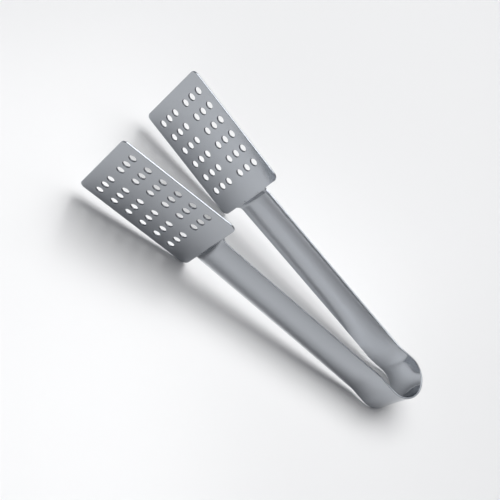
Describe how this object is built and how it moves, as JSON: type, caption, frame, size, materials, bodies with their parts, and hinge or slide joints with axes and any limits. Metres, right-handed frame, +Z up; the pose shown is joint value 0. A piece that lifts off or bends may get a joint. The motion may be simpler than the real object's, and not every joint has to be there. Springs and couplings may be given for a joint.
{
  "type": "tea bag squeezer",
  "caption": "Spring tongs of pressed sheet steel: a wide U bow, two arched handles and two flat perforated plates that press a tea bag between them.",
  "frame": {"origin": "under the middle of the whole piece, on the surface that the lower long edges of the press plates stand on", "axes": "+X from the plate tips to the bow, +Y from the front arm to the rear arm, +Z up across the width of the strip"},
  "size_m": [0.162, 0.0502, 0.0426],
  "materials": {
    "satin_steel": "satin polished stainless steel sheet"
  },
  "bodies": {
    "spring_bow": {"spring_bow": "satin_steel"},
    "front_arm": {"front_handle": "satin_steel", "front_press_plate": "satin_steel"},
    "rear_arm": {"rear_handle": "satin_steel", "rear_press_plate": "satin_steel"}
  },
  "joints": [
    {"name": "rear_arm_flex", "type": "hinge", "parent": "spring_bow", "child": "rear_arm", "pos_m": [0.06999, 0.00976, 0.0213], "axis": [0, 0, 1], "range_deg": [0, 9], "stiffness_Nm_per_rad": 6.8},
    {"name": "front_arm_flex", "type": "hinge", "parent": "spring_bow", "child": "front_arm", "pos_m": [0.06999, -0.00976, 0.0213], "axis": [0, 0, -1], "range_deg": [0, 9], "stiffness_Nm_per_rad": 6.8}
  ],
  "couplings": [
    {"joint": "front_arm_flex", "follows": "rear_arm_flex", "ratio": 1}
  ]
}
